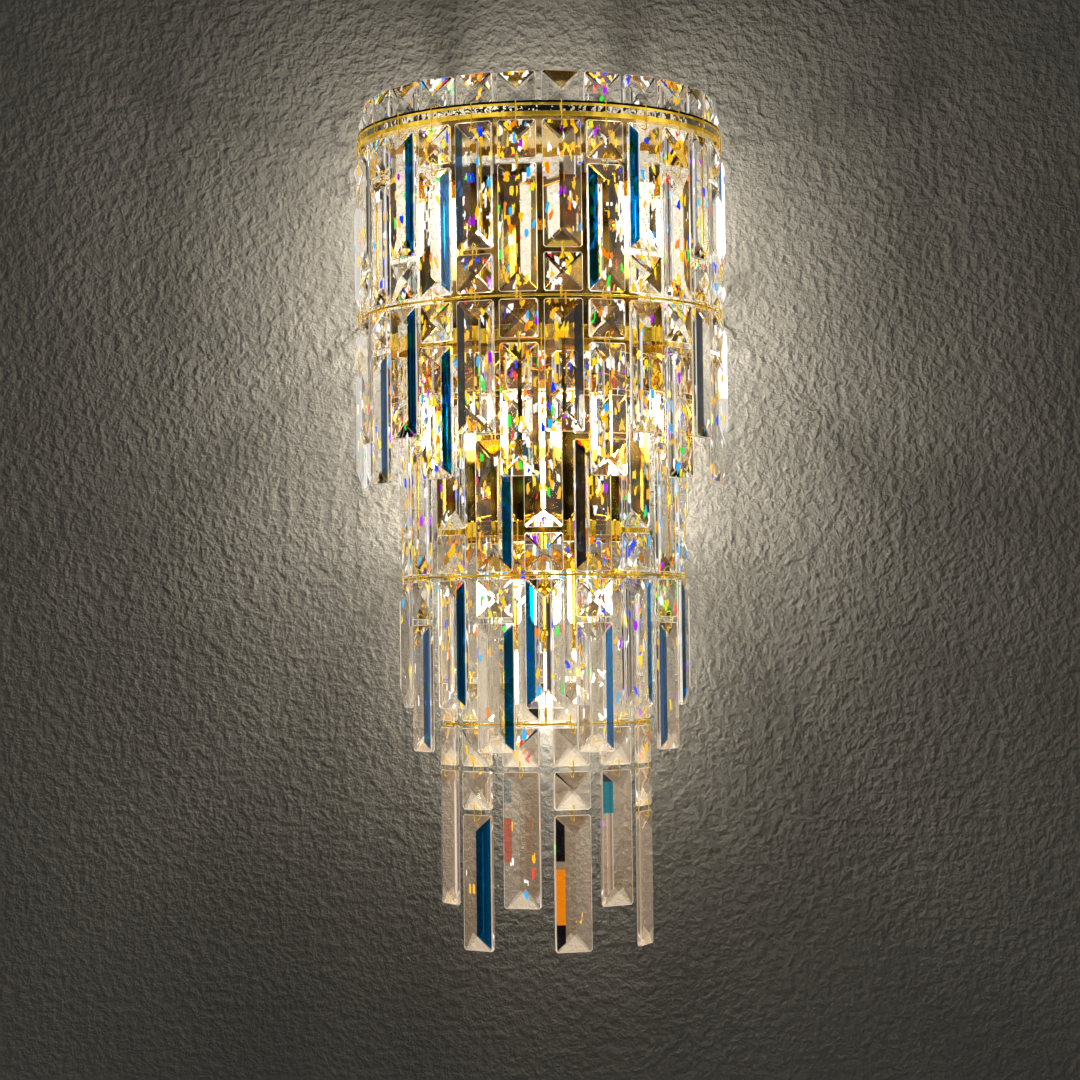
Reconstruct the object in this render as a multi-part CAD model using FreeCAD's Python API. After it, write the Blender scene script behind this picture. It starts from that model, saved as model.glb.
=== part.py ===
import FreeCAD, Part
import os
from math import sin, cos, tan, radians, acos

# A crystal wall sconce. Three D-shaped trays stand out from a back plate, one above the other and
# each smaller than the one above. Cut crystals hang round each tray down to a ring, and more
# crystals swing freely from that ring.
# Millimetres. X to the right, Y into the wall, Z up. The origin is the centre of the four wall
# screws, on the wall's face.

os.makedirs("parts", exist_ok=True)
V = FreeCAD.Vector
INTO_WALL, UP = V(0, 1, 0), V(0, 0, 1)

# Crystals
crystal_width = 30.5        # all crystals, and the height of a square one
crystal_depth = 14.0        # from ridge to ridge
rim_depth = 3.4             # thickness at the edge
corner_cut = 2.4            # each clipped corner, along the edge
hip_length = 15.25          # from an end to where the ridge starts
hole_inset = 5.0            # hole's centre from the crystal's end
hole_r = 1.0

# Wire
wire_r = 0.45
link_reach = 4.3            # a link's legs, in front of and behind the crystals' middle
link_bend = 1.6
hook_bend = 0.9             # tight enough to clear the band's edge
hook_gap = 0.2              # between a hook and the tray's band
ring_r = 0.9                # the rod that each ring is bent from
side_step = 1.6             # two links on one ring sit this far each side of the strand's middle
above_ring = 2.6            # ring's centre to the crystals above it
below_ring = 2.9            # ring's centre to the crystals below it
link_slack = 0.1            # link's clearance on the ring

# Trays
arc_setback = 12.0          # the arcs' centre, in front of the wall
band_height = 12.0
sheet = 1.2
plate_rise = 4.0            # underside of a tray's plate above its band's lower edge
band_outside = 3.5          # a band's outer face, beyond the crystals' middle
top_tray_back = 2.7         # rear edge of the top tray, in front of the wall
lower_tray_back = 0.5       # rear edge of the other two
hanger_inset = 9.0          # ring hangers, inside the crystals' middle
hanger_r = 0.9
end_gap_x = 134.0           # the top tray's rear lip is cut away outside this, for the last crown crystals

# Crown of standing crystals
crown_radius = 142.3
crown_lift = 0.9            # over the tray's plate
crown_lean = 2.0            # largest lean, degrees

# Back plate and wall bracket
pan_half_width = 80.0
pan_top, pan_bottom = 156.0, -152.0
pan_depth = 12.0
pan_wall = 1.0
pan_gap = 0.3               # back plate's rim to the wall, and the trays' cut-outs to the back plate
bracket_half_width = 60.0
bracket_top, bracket_bottom = 148.0, -148.0
bracket_sheet = 2.5
ear_x, ear_width, ear_top = 45.0, 14.0, 185.0
wall_hole_x, wall_hole_z, wall_hole_r = 80.0, 200.0, 2.75     # spacings and radius of the wall screws
cable_hole_r, cable_bore_r = 7.5, 5.0
cable_z = -30.0
stud_heights = (112.0, -110.0)
stud_r, nut_r = 2.0, 5.5
screw_r, screw_head_r = 1.5, 2.8
tray_screw_x = 50.0

# Lamps, all pointing down: x, y, height of the arm, height of the cup's top
low_arm_z = -131            # the arms at this height turn down through the bottom tray
lamps = [(-74, -78, 148, 139), (74, -78, 148, 139),
         (-60, -74, -8, -17), (0, -92, -8, -17), (60, -74, -8, -17),
         (0, -62, -60, -69),
         (-26, -54, low_arm_z, -158), (26, -54, low_arm_z, -158), (0, -40, low_arm_z, -222)]
through_tray = [lamp for lamp in lamps if lamp[2] == low_arm_z]
arm_r, arm_bore, arm_bend = 3.0, 2.0, 8.0
lead_r = 1.2
cup_height, cup_mouth_r, cup_top_r = 17.0, 13.0, 5.0
holder_r, holder_height = 8.5, 15.0
bulb_r, bulb_length, bulb_wall = 6.8, 42.0, 0.8
bulb_base_height = 7.0
emitter_r, emitter_length = 2.4, 27.0

# A strand's crystals from the top: S is a square one, P a long prism
tiers = [
    dict(name="top_tier", radius=146.5, count=14, pitch=13.6, band_foot=173.8, ring_z=34.8,
         upper_prism=99.9, lower_prism=103.5, gap=3.6, largest_twist=2.5,
         upper=("SP", "PS"), lower=("SP", "P"), hangers=(-68.0, -27.2, 27.2, 68.0)),
    dict(name="middle_tier", radius=113.0, count=9, pitch=20.0, band_foot=4.0, ring_z=-181.0,
         upper_prism=104.0, lower_prism=101.5, gap=4.2, largest_twist=3.0,
         upper=("SPS", "SSP"), lower=("P", "SP"), hangers=(-70.0, -30.0, 30.0, 70.0)),
    dict(name="bottom_tier", radius=84.5, count=6, pitch=27.2, band_foot=-149.0, ring_z=-298.6,
         upper_prism=108.0, lower_prism=108.0, gap=4.0, largest_twist=5.0,
         upper=("SP", "PS"), lower=("SP", "SSP"), hangers=(-54.4, 0.0, 54.4)),
]


def save(node, *shapes):
    solids = [s for shape in shapes for s in shape.Solids]
    group = solids[0] if len(solids) == 1 else Part.makeCompound(solids)
    bad = [s for s in solids if not s.isValid() or s.Volume <= 0]
    if bad:
        print("not valid:", node, len(bad))
    group.exportStep("parts/" + node + ".step")


def box(x0, x1, y0, y1, z0, z1):
    return Part.makeBox(x1 - x0, y1 - y0, z1 - z0, V(x0, y0, z0))


def rod(r, start, end):
    run = end.sub(start)
    return Part.makeCylinder(r, run.Length, start, run)


def turned(outline, at, axis=UP):
    """Turns a closed outline of (radius, height) points about a line through at."""
    points = [V(r, 0, z) for r, z in outline]
    face = Part.Face(Part.makePolygon(points + points[:1]))
    solid = face.revolve(V(0, 0, 0), UP, 360)
    solid.Placement = FreeCAD.Placement(at, FreeCAD.Rotation(UP, axis))
    return solid


def rounded_path(points, bend, closed=False):
    """Straight runs joined by tangent arcs of the bend radius."""
    corners = list(range(len(points))) if closed else list(range(1, len(points) - 1))
    starts, ends, mids = {}, {}, {}
    for i in corners:
        here = points[i]
        back = points[i - 1].sub(here).normalize()
        ahead = points[(i + 1) % len(points)].sub(here).normalize()
        half = acos(max(-1, min(1, back.dot(ahead)))) / 2
        reach = bend / tan(half)
        starts[i], ends[i] = here + back * reach, here + ahead * reach
        centre = here + (back + ahead).normalize() * (bend / sin(half))
        mids[i] = centre + here.sub(centre).normalize() * bend
    edges = []
    order = corners if closed else [0] + corners
    for i in order:
        nxt = (i + 1) % len(points)
        if i in starts:
            edges.append(Part.Arc(starts[i], mids[i], ends[i]).toShape())
        leave = ends.get(i, points[i])
        arrive = starts.get(nxt, points[nxt])
        if leave.distanceToPoint(arrive) > 1e-6:
            edges.append(Part.LineSegment(leave, arrive).toShape())
    return Part.Wire(edges)


def wire_along(points, r, bend, closed=False):
    """A round wire along a path. A closed path is made of two halves, so that its ends meet square."""
    if closed:
        half_way = [(points[0] + points[-1]) * 0.5, (points[1] + points[2]) * 0.5]
        one = wire_along([half_way[0], points[0], points[1], half_way[1]], r, bend)
        two = wire_along([half_way[1], points[2], points[3], half_way[0]], r, bend)
        return one.fuse(two)
    path = rounded_path(points, bend)
    heading = points[1].sub(points[0])
    section = Part.Wire(Part.makeCircle(r, points[0], heading))
    return Part.Solid(path.makePipeShell([section], True, False).Shells[0])


def crystal(length, top_hole=None, foot_hole=None):
    """A cut crystal hanging down from z = 0, with a ridged roof front and back. Its holes run from
    front to back; each value is the hole's sideways place."""
    w, d, e = crystal_width / 2, crystal_depth / 2, rim_depth / 2
    c, low = corner_cut, -length
    outline = [(-w + c, 0), (w - c, 0), (w, -c), (w, low + c),
               (w - c, low), (-w + c, low), (-w, low + c), (-w, -c)]
    ridge_top, ridge_foot = -hip_length, low + hip_length
    faces = []
    for side in (-1, 1):
        edge = [V(x, side * e, z) for x, z in outline]
        peak_top, peak_foot = V(0, side * d, ridge_top), V(0, side * d, ridge_foot)
        for i in range(8):
            a, b = edge[i], edge[(i + 1) % 8]
            upper_a, upper_b = a.z > low / 2, b.z > low / 2
            ring = [a, b, peak_top if upper_b else peak_foot]
            if upper_a != upper_b:
                ring = [a, b] + ([peak_foot, peak_top] if upper_a else [peak_top, peak_foot])
                if peak_top.distanceToPoint(peak_foot) < 1e-6:
                    ring = ring[:3]
            faces.append(Part.Face(Part.makePolygon(ring + ring[:1])))
    for i in range(8):
        (xa, za), (xb, zb) = outline[i], outline[(i + 1) % 8]
        ring = [V(xa, -e, za), V(xb, -e, zb), V(xb, e, zb), V(xa, e, za)]
        faces.append(Part.Face(Part.makePolygon(ring + ring[:1])))
    solid = Part.Solid(Part.Shell(faces))
    if solid.Volume < 0:
        solid.reverse()
    for x, z in ((top_hole, -hole_inset), (foot_hole, low + hole_inset)):
        if x is not None:
            solid = solid.cut(Part.makeCylinder(hole_r, crystal_depth, V(x, -d, z), INTO_WALL))
    return solid


def link(x, high, low):
    """A closed wire link in the plane that runs from front to back."""
    corners = [V(x, y, z) for y, z in ((-link_reach, high), (-link_reach, low),
                                       (link_reach, low), (link_reach, high))]
    return wire_along(corners, wire_r, link_bend, closed=True)


def to_strand(shape, tier_radius, theta, twist=0.0):
    """Moves a shape from the strand's own frame, where y is out of the tier, to its place."""
    placed = shape.copy()
    placed.rotate(V(0, 0, 0), UP, twist)
    placed.translate(V(0, -tier_radius, 0))
    placed.rotate(V(0, 0, 0), UP, theta)
    placed.translate(V(0, -arc_setback, 0))
    return placed


def strand_angles(tier):
    first = -tier["pitch"] * (tier["count"] - 1) / 2
    return [first + tier["pitch"] * k for k in range(tier["count"])]


def crystal_length(kind, prism):
    return crystal_width if kind == "S" else prism


def hung_pieces(kinds, top, prism, gap, first_hole, last_hole):
    """The crystals of one strand from the top down, and the links between them."""
    crystals, links = [], []
    z = top
    for i, kind in enumerate(kinds):
        length = crystal_length(kind, prism)
        last = i == len(kinds) - 1
        foot_hole = last_hole if last else 0.0
        piece = crystal(length, first_hole if i == 0 else 0.0, foot_hole)
        piece.translate(V(0, 0, z))
        crystals.append(piece)
        z -= length
        if not last:
            links.append(link(0.0, z + hole_inset, z - gap - hole_inset))
            z -= gap
    return crystals, links


def upper_top(tier):
    """The height of the first crystals' upper ends. Both kinds of strand in a tier are as long."""
    kinds = tier["upper"][0]
    lengths = [crystal_length(kind, tier["upper_prism"]) for kind in kinds]
    return tier["ring_z"] + above_ring + sum(lengths) + tier["gap"] * (len(kinds) - 1)


def upper_strands(tier):
    """The crystals held between the tray and the ring."""
    crystals, links = [], []
    for k, theta in enumerate(strand_angles(tier)):
        held, joins = hung_pieces(tier["upper"][k % 2], upper_top(tier), tier["upper_prism"],
                                  tier["gap"], 0.0, -side_step)
        foot = tier["ring_z"] + above_ring
        joins.append(link(-side_step, foot + hole_inset,
                          tier["ring_z"] - ring_r - wire_r - link_slack))
        crystals += [to_strand(s, tier["radius"], theta) for s in held]
        links += [to_strand(s, tier["radius"], theta) for s in joins]
    return crystals, links


def free_strand(tier, k, theta):
    """The crystals that swing from the ring, with their links."""
    head = tier["ring_z"] - below_ring
    held, joins = hung_pieces(tier["lower"][k % 2], head, tier["lower_prism"], tier["gap"],
                              side_step, None)
    joins.append(link(side_step, tier["ring_z"] + ring_r + wire_r + link_slack, head - hole_inset))
    twist = tier["largest_twist"] * sin(2.4 * k + 0.7)
    return [to_strand(s, tier["radius"], theta, twist) for s in held + joins]


def ring(tier):
    """A rod bent to a U against the wall, with the hangers that carry it from the tray."""
    r, z = tier["radius"], tier["ring_z"]
    side = arc_setback
    legs = [Part.LineSegment(V(-r, -2, z), V(-r, -side, z)).toShape(),
            Part.Arc(V(-r, -side, z), V(0, -side - r, z), V(r, -side, z)).toShape(),
            Part.LineSegment(V(r, -side, z), V(r, -2, z)).toShape()]
    section = Part.Wire(Part.makeCircle(ring_r, V(-r, -2, z), V(0, -1, 0)))
    body = Part.Solid(Part.Wire(legs).makePipeShell([section], True, False).Shells[0])
    for theta in tier["hangers"]:
        inner = r - hanger_inset
        top = tier["band_foot"] + plate_rise
        bent = wire_along([V(0, -inner, top), V(0, -inner, z), V(0, -r, z)], hanger_r, 4.0)
        bent.rotate(V(0, 0, 0), UP, theta)
        bent.translate(V(0, -arc_setback, 0))
        body = body.fuse(bent)
    return body.removeSplitter()


def d_face(half_width, back, z, notch_half_width=None, notch_front=None):
    """A flat D: an arc in front, straight sides, and a straight back with an optional notch."""
    r, c = half_width, arc_setback
    arc = Part.Arc(V(-r, -c, z), V(0, -c - r, z), V(r, -c, z)).toShape()
    rear = [V(r, -c, z), V(r, -back, z)]
    if notch_half_width:
        n = notch_half_width
        rear += [V(n, -back, z), V(n, -notch_front, z), V(-n, -notch_front, z), V(-n, -back, z)]
    rear += [V(-r, -back, z), V(-r, -c, z)]
    edges = [arc] + [Part.LineSegment(a, b).toShape() for a, b in zip(rear, rear[1:])]
    return Part.Face(Part.Wire(edges))


def tray(tier, back, notched):
    """A flat plate inside an upright band."""
    outer_r = tier["radius"] + band_outside
    z = tier["band_foot"]
    notch = (pan_half_width + pan_gap, pan_depth + pan_gap) if notched else (None, None)
    inner_notch = (notch[0] + sheet, notch[1] + sheet) if notched else (None, None)
    whole = d_face(outer_r, back, z, *notch).extrude(UP * band_height)
    inner = d_face(outer_r - sheet, back + sheet, z, *inner_notch)
    below = inner.extrude(UP * plate_rise)
    above = inner.copy()
    above.translate(UP * (plate_rise + sheet))
    above = above.extrude(UP * (band_height - plate_rise - sheet))
    return whole.cut(below).cut(above)


def screw(x, z, seat_y, tip_y):
    """A round-headed screw pointing into the wall."""
    head = Part.makeSphere(screw_head_r, V(x, seat_y, z)).common(
        box(x - 4, x + 4, seat_y - 1.8, seat_y, z - 4, z + 4))
    return head.fuse(Part.makeCylinder(screw_r, tip_y - seat_y, V(x, seat_y, z), INTO_WALL))


def screw_hole(x, z):
    return Part.makeCylinder(screw_r + 0.05, 40, V(x, -30, z), INTO_WALL)


# --- Crystals, their wires and the rings --------------------------------------------------------
top_tier, middle_tier, bottom_tier = tiers

crown, crown_hooks = [], []
crown_foot = top_tier["band_foot"] + plate_rise + sheet + crown_lift
hook_top = top_tier["band_foot"] + band_height + wire_r + hook_gap
outer_leg = top_tier["radius"] + band_outside + wire_r + hook_gap
for k, theta in enumerate(strand_angles(top_tier)):
    standing = crystal(crystal_width)
    standing.translate(V(0, 0, crown_foot + crystal_width))
    hole = Part.makeCylinder(hole_r, crystal_depth, V(0, -crystal_depth / 2, hook_top), INTO_WALL)
    standing = standing.cut(hole)
    standing.rotate(V(0, 0, hook_top), INTO_WALL, crown_lean * sin(1.9 * k + 0.4))
    crown.append(to_strand(standing, crown_radius, theta))
    strand_hole = upper_top(top_tier) - hole_inset
    path = [V(0, -crown_radius + link_reach + 1.2, hook_top), V(0, -outer_leg, hook_top),
            V(0, -outer_leg, strand_hole), V(0, -top_tier["radius"] + link_reach + 0.8, strand_hole)]
    crown_hooks.append(to_strand(wire_along(path, wire_r, hook_bend), 0.0, theta))
save("crown_crystals", *crown)
save("crown_hooks", *crown_hooks)

for tier in tiers:
    crystals, links = upper_strands(tier)
    save(tier["name"] + "_upper_crystals", *crystals)
    save(tier["name"] + "_upper_links", *links)
    save(tier["name"] + "_ring", ring(tier))
    for k, theta in enumerate(strand_angles(tier)):
        save("%s_strand_%02d" % (tier["name"], k + 1), *free_strand(tier, k, theta))

for tier in (middle_tier, bottom_tier):
    hooks = []
    for theta in strand_angles(tier):
        leg = tier["radius"] + band_outside + wire_r + hook_gap
        behind = tier["radius"] + band_outside - sheet - wire_r - hook_gap
        over = tier["band_foot"] + band_height + wire_r + hook_gap
        hole = upper_top(tier) - hole_inset
        path = [V(0, -behind, over - 4), V(0, -behind, over), V(0, -leg, over), V(0, -leg, hole),
                V(0, -tier["radius"] + link_reach + 0.8, hole)]
        hooks.append(to_strand(wire_along(path, wire_r, hook_bend), 0.0, theta))
    save(tier["name"] + "_hooks", *hooks)

# --- Trays --------------------------------------------------------------------------------------
screws = []
top_screw_z = top_tier["band_foot"] + band_height - 3.4
top_tray = tray(top_tier, top_tray_back, notched=False)
for x in (-ear_x, ear_x):
    top_tray = top_tray.cut(screw_hole(x, top_screw_z))
    screws.append(screw(x, top_screw_z, -top_tray_back - sheet, -0.4))
for side in (-1, 1):
    inner_x, outer_x = sorted((side * end_gap_x, side * (top_tier["radius"] + band_outside - sheet)))
    plate_top = top_tier["band_foot"] + plate_rise + sheet
    end_gap = box(inner_x, outer_x, -6, 0, plate_top, plate_top + band_height)
    top_tray = top_tray.cut(end_gap)
save("top_tier_tray", top_tray)

tray_screw_heights = []
for tier in (middle_tier, bottom_tier):
    screw_z = tier["band_foot"] + band_height - 3.4
    tray_screw_heights.append(screw_z)
    body = tray(tier, lower_tray_back, notched=True)
    for x in (-tray_screw_x, tray_screw_x):
        body = body.cut(screw_hole(x, screw_z))
        screws.append(screw(x, screw_z, -pan_depth - pan_gap - sheet, -pan_depth + 4))
    if tier is bottom_tier:
        for x, y, arm_z, cup_z in through_tray:
            body = body.cut(Part.makeCylinder(arm_r + 0.4, 2 * band_height, V(x, y, tier["band_foot"])))
    save(tier["name"] + "_tray", body)
save("tray_screws", *screws)

# --- Wall bracket, back plate and what holds them together --------------------------------------
bracket = box(-bracket_half_width, bracket_half_width, -bracket_sheet, 0, bracket_bottom, bracket_top)
for x in (-ear_x, ear_x):
    bracket = bracket.fuse(box(x - ear_width / 2, x + ear_width / 2, -bracket_sheet, 0,
                               bracket_top, ear_top))
    bracket = bracket.cut(screw_hole(x, top_screw_z))
for x in (-wall_hole_x / 2, wall_hole_x / 2):
    for z in (-wall_hole_z / 2, wall_hole_z / 2):
        bracket = bracket.cut(Part.makeCylinder(wall_hole_r, 10, V(x, -5, z), INTO_WALL))
bracket = bracket.cut(Part.makeCylinder(cable_hole_r, 10, V(0, -5, cable_z), INTO_WALL))
for z in stud_heights:
    bracket = bracket.cut(Part.makeCylinder(stud_r + 0.05, 10, V(0, -5, z), INTO_WALL))
save("wall_bracket", bracket.removeSplitter())

pan = box(-pan_half_width, pan_half_width, -pan_depth, -pan_gap, pan_bottom, pan_top)
pan = pan.cut(box(-pan_half_width + pan_wall, pan_half_width - pan_wall, -pan_depth + pan_wall, 1,
                  pan_bottom + pan_wall, pan_top - pan_wall))
for x in (-ear_x, ear_x):
    half = ear_width / 2 + 0.4
    pan = pan.cut(box(x - half, x + half, -bracket_sheet - 0.4, 1, pan_top - 5, pan_top + 1))
for z in stud_heights:
    pan = pan.cut(Part.makeCylinder(stud_r + 0.2, 20, V(0, -15, z), INTO_WALL))
for x, y, arm_z, cup_z in lamps:
    pan = pan.cut(Part.makeCylinder(arm_bore, 20, V(x, -15, arm_z), INTO_WALL))
for z in tray_screw_heights:
    for x in (-tray_screw_x, tray_screw_x):
        pan = pan.cut(screw_hole(x, z))
save("back_plate", pan)

studs, nuts = [], []
for z in stud_heights:
    flange = Part.makeCylinder(4.0, 1.5, V(0, -bracket_sheet - 1.5, z), INTO_WALL)
    studs.append(flange.fuse(rod(stud_r, V(0, -0.4, z), V(0, -pan_depth - 5, z))))
    profile = [(stud_r + 0.05, 0), (nut_r, 0), (nut_r, 4.0), (4.6, 6.6), (2.6, 8.2), (0, 8.8),
               (0, 6.0), (stud_r + 0.05, 6.0)]
    nuts.append(turned(profile, V(0, -pan_depth, z), V(0, -1, 0)))
save("bracket_studs", *studs)
save("cap_nuts", *nuts)

bush = [(cable_bore_r, -1.0), (cable_hole_r + 2.2, -1.0), (cable_hole_r + 2.2, -2.6),
        (cable_bore_r + 1.2, -4.4), (cable_bore_r, -4.4)]
neck = [(cable_bore_r, 2.4), (cable_hole_r - 0.05, 2.4), (cable_hole_r - 0.05, -1.0), (cable_bore_r, -1.0)]
grommet = turned(neck, V(0, -bracket_sheet, cable_z), V(0, 1, 0))
collar = turned([(r, z + 1.0) for r, z in bush], V(0, -bracket_sheet, cable_z), V(0, 1, 0))
save("cable_grommet", grommet.fuse(collar).removeSplitter())

block_x, block_z, block_step = 38.0, -44.0, 8.0
block = box(block_x - 14, block_x + 14, -10.5, -2.8, block_z - 8, block_z + 8)
for x in (block_x - block_step, block_x, block_x + block_step):
    for z in (block_z - 4, block_z + 4):
        block = block.cut(Part.makeCylinder(1.6, 5, V(x, -12, z), INTO_WALL))
save("terminal_block", block)


# --- Lamps --------------------------------------------------------------------------------------
def arm_path(x, y, arm_z, cup_z):
    return [V(x, -pan_depth, arm_z), V(x, y, arm_z), V(x, y, cup_z)]


arms, leads, cups, holders, bases, glasses, emitters = [], [], [], [], [], [], []
for x, y, arm_z, cup_z in lamps:
    route = arm_path(x, y, arm_z, cup_z)
    arms.append(wire_along(route, arm_r, arm_bend).cut(wire_along(route, arm_bore, arm_bend)))
    route = [V(x, -pan_depth + 4, arm_z)] + route[1:]
    route[-1] = V(x, y, cup_z - 2.5)
    leads.append(wire_along(route, lead_r, arm_bend))
    cup = [(lead_r + 0.3, 0), (cup_top_r, 0), (7.5, -2.0), (10.5, -6.0), (cup_mouth_r - 1, -11.0),
           (cup_mouth_r, -cup_height), (cup_mouth_r - 1, -cup_height), (cup_mouth_r - 2, -11.4),
           (9.4, -6.6), (6.9, -3.0), (lead_r + 0.3, -2.4)]
    cups.append(turned(cup, V(x, y, cup_z)))
    seat = cup_z - 6.8
    holder = turned([(0, 0), (6.0, 0), (holder_r - 0.6, -1.6), (holder_r, -3.6),
                     (holder_r, -holder_height), (4.6, -holder_height), (4.6, -holder_height + 8),
                     (0, -holder_height + 8)], V(x, y, seat + 2.8))
    holders.append(holder.cut(Part.makeCylinder(lead_r + 0.2, 3, V(x, y, seat + 1.5))))
    base_top = seat + 2.8 - holder_height + 7.6
    bases.append(turned([(0, 0), (4.3, 0), (4.3, -8.2), (bulb_r - bulb_wall - 0.1, -8.2),
                         (bulb_r - bulb_wall - 0.1, -8.2 - bulb_base_height + 3),
                         (0, -8.2 - bulb_base_height + 3)], V(x, y, base_top)))
    neck_z = base_top - 8.4
    r, t, n = bulb_r, bulb_wall, bulb_length
    dome = [(r * cos(radians(a)), -n + r - r * sin(radians(a))) for a in (0, 22.5, 45, 67.5)]
    inner_dome = [((r - t) * cos(radians(a)), -n + r - (r - t) * sin(radians(a)))
                  for a in (67.5, 45, 22.5, 0)]
    glass = [(r - t, 0), (r, 0)] + dome + [(0, -n), (0, -n + t)] + inner_dome
    glasses.append(turned(glass, V(x, y, neck_z)))
    emitters.append(Part.makeCylinder(emitter_r, emitter_length, V(x, y, neck_z - 6 - emitter_length)))
save("lamp_arms", *arms)
save("lamp_leads", *leads)
save("lamp_cups", *cups)
save("lampholders", *holders)
save("bulb_bases", *bases)
save("bulb_glasses", *glasses)
save("bulb_emitters", *emitters)

# The sleeved harness behind the back plate: a trunk, and a branch to each row of lamps
trunk_x, harness_y, harness_r = 14.0, -6.0, 1.6
rows = sorted({lamp[2] for lamp in lamps})
harness = rod(harness_r, V(trunk_x, harness_y, rows[0]), V(trunk_x, harness_y, rows[-1]))
for row in rows:
    ends = [lamp[0] for lamp in lamps if lamp[2] == row] + [trunk_x]
    harness = harness.fuse(rod(harness_r, V(min(ends) - 1, harness_y, row),
                               V(max(ends) + 1, harness_y, row)))
harness = harness.fuse(rod(harness_r, V(trunk_x, harness_y, block_z), V(block_x - 14, harness_y, block_z)))
save("wiring_harness", harness)
print("nodes:", len(os.listdir("parts")))
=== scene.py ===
import math
import random

import bmesh
import bpy
from mathutils import Matrix, Vector


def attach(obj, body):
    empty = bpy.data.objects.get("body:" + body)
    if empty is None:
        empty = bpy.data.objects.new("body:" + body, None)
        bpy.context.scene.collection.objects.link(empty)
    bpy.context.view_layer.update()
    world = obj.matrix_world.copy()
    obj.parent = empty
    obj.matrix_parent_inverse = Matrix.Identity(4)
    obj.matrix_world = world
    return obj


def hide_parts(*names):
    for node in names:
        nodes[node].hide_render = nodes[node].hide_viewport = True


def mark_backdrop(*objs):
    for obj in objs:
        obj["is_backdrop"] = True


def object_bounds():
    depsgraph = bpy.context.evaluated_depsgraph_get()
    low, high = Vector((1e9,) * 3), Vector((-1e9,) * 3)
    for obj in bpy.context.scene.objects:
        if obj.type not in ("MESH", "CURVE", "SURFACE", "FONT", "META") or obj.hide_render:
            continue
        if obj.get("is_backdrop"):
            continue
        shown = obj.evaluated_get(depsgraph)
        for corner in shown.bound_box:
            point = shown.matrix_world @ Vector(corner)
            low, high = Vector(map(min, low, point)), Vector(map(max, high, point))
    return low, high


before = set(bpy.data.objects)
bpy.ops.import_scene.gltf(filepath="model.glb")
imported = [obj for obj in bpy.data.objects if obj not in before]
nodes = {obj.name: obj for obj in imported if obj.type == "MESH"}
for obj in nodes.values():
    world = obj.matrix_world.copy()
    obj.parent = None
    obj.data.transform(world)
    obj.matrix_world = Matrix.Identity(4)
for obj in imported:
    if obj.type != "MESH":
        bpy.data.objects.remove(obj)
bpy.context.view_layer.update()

bpy.context.scene.view_settings.view_transform = "Standard"
mm = 0.001

# the camera looks slightly up at the sconce, a little to its left
camera = {"place": (-0.003, -2.206, -0.241), "tiltUp": 2.4, "roll": -0.7, "lens": 88.7, "sensor": 36.0,
          "clip": (0.05, 60.0)}
cameraData = bpy.data.cameras.new("camera")
cameraData.lens = camera["lens"]
cameraData.sensor_width = camera["sensor"]
cameraData.clip_start, cameraData.clip_end = camera["clip"]
cameraObject = bpy.data.objects.new("camera", cameraData)
bpy.context.scene.collection.objects.link(cameraObject)
tilt = Matrix.Rotation(math.radians(90 + camera["tiltUp"]), 4, "X")
roll = Matrix.Rotation(math.radians(camera["roll"]), 4, "Z")
cameraObject.matrix_world = Matrix.Translation(camera["place"]) @ tilt @ roll
bpy.context.scene.camera = cameraObject
print("camera ready")


# ---- shader helpers
class Shade:
    # a socket of a shader tree; sums and products of it add Math nodes
    def __init__(self, tree, socket=None):
        self.tree = tree
        self.socket = socket

    def node(self, kind, settings=None, inputs=None, output=0):
        made = self.tree.nodes.new("ShaderNode" + kind)
        for key, value in (settings or {}).items():
            if key == "stops":
                ramp = made.color_ramp
                while len(ramp.elements) < len(value):
                    ramp.elements.new(0.5)
                ramp.interpolation = "CONSTANT"
                for stop, (place, colour) in zip(ramp.elements, value):
                    stop.position = place
                    stop.color = (*colour, 1.0)
            else:
                setattr(made, key, value)
        for key, value in (inputs or {}).items():
            if isinstance(value, Shade):
                self.tree.links.new(value.socket, made.inputs[key])
            else:
                made.inputs[key].default_value = value
        return Shade(self.tree, None if output is None else made.outputs[output])

    def maths(self, operation, first, second=0.0):
        return self.node("Math", {"operation": operation}, {0: first, 1: second})

    def __add__(self, other):
        return self.maths("ADD", self, other)

    def __sub__(self, other):
        return self.maths("SUBTRACT", self, other)

    def __mul__(self, other):
        return self.maths("MULTIPLY", self, other)

    def __rsub__(self, other):
        return self.maths("SUBTRACT", other, self)

    __radd__ = __add__
    __rmul__ = __mul__

    def step(self, low, high):
        return self.node("MapRange", {"interpolation_type": "SMOOTHSTEP"},
                         {"Value": self, "From Min": low, "From Max": high})


def newMaterial(name):
    material = bpy.data.materials.new(name)
    material.use_nodes = True
    material.node_tree.nodes.clear()
    return material, Shade(material.node_tree)


def finish(start, shader):
    start.node("OutputMaterial", None, {"Surface": shader}, None)


def principled(material, start, values, isLamp=False):
    # a finish that glows a little isn't sampled as a lamp
    finish(start, start.node("BsdfPrincipled", None, values))
    if "Emission Color" in values and not isLamp:
        material.cycles.emission_sampling = "NONE"
    return material


def opaque(colour):
    return (*colour, 1.0) if isinstance(colour, tuple) else colour


def objectPlace(start, scale=(1.0, 1.0, 1.0)):
    place = start.node("TexCoord", output="Object")
    return start.node("Mapping", None, {"Vector": place, "Scale": scale})


def noise(start, place, scale, detail=2.0, roughness=0.5):
    return start.node("TexNoise", None, {
        "Vector": place, "Scale": scale, "Detail": detail, "Roughness": roughness}, "Fac")


def mixColour(start, factor, first, second):
    return start.node("Mix", {"data_type": "RGBA"}, {0: factor, 6: opaque(first), 7: opaque(second)}, 2)


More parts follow.
